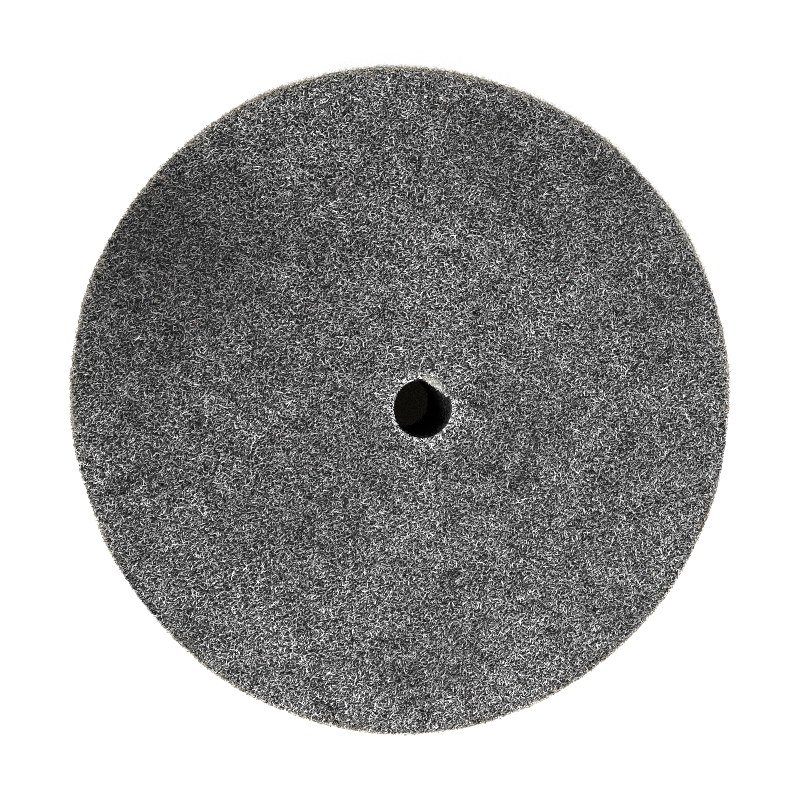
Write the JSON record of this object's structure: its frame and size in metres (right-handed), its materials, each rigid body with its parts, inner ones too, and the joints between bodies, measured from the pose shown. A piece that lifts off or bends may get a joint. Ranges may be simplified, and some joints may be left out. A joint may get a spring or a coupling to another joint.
{
  "type": "non-woven polishing wheel",
  "caption": "Thick flat round polishing wheel of pressed grey non-woven nylon web discs bonded with resin, with a plain round arbor bore through its centre.",
  "frame": {"origin": "centre of the bore at the back face, on which the wheel lies", "axes": "+Z along the bore axis from the back face to the front face; X and Y are any two radial directions"},
  "size_m": [0.3, 0.3, 0.05],
  "materials": {
    "face_web": "open mat of coarse grey fibres with a dull resin glint",
    "core_web": "cut fibre ends, matt",
    "cured_resin": "dark cured resin, satin"
  },
  "bodies": {
    "root": {"back_face_ply": "face_web", "core_ply_01": "core_web", "core_ply_02": "core_web", "core_ply_03": "core_web", "core_ply_04": "core_web", "core_ply_05": "core_web", "core_ply_06": "core_web", "core_ply_07": "core_web", "core_ply_08": "core_web", "core_ply_09": "core_web", "core_ply_10": "core_web", "core_ply_11": "core_web", "core_ply_12": "core_web", "front_face_ply": "face_web", "bond_line_01": "cured_resin", "bond_line_02": "cured_resin", "bond_line_03": "cured_resin", "bond_line_04": "cured_resin", "bond_line_05": "cured_resin", "bond_line_06": "cured_resin", "bond_line_07": "cured_resin", "bond_line_08": "cured_resin", "bond_line_09": "cured_resin", "bond_line_10": "cured_resin", "bond_line_11": "cured_resin", "bond_line_12": "cured_resin", "bond_line_13": "cured_resin"}
  },
  "joints": []
}
